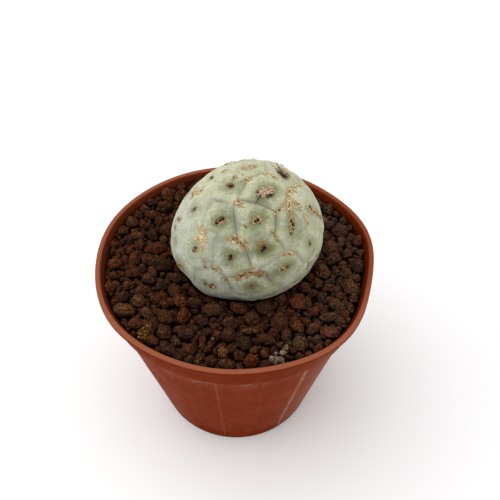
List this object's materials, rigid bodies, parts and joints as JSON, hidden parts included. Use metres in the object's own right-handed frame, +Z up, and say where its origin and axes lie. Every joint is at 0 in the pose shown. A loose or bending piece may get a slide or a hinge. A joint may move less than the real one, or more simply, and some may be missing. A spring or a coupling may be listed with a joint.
{
  "type": "potted tephrocactus",
  "caption": "Egg-shaped grey-green cactus with a net of grooves, in volcanic gravel in a small round plastic nursery pot.",
  "frame": {"origin": "centre of the pot's flat base, on the surface that it stands on", "axes": "+Z up out of the pot, -Y towards the front"},
  "size_m": [0.0843, 0.0848, 0.0983],
  "materials": {
    "pot_plastic": "soft terracotta-coloured polypropylene with a slight sheen, paler at the lip and scuffed under the collar",
    "mix": "dark, damp growing mix",
    "gravel": "rough porous volcanic gravel, dark red-brown with rust, ochre and grey stones",
    "cactus_skin": "pale grey-green skin with a waxy bloom, darker round the areoles, with corky tan scars"
  },
  "bodies": {
    "root": {"pot": "pot_plastic", "potting_mix": "mix", "lava_grit": "gravel", "cactus": "cactus_skin"}
  },
  "joints": []
}
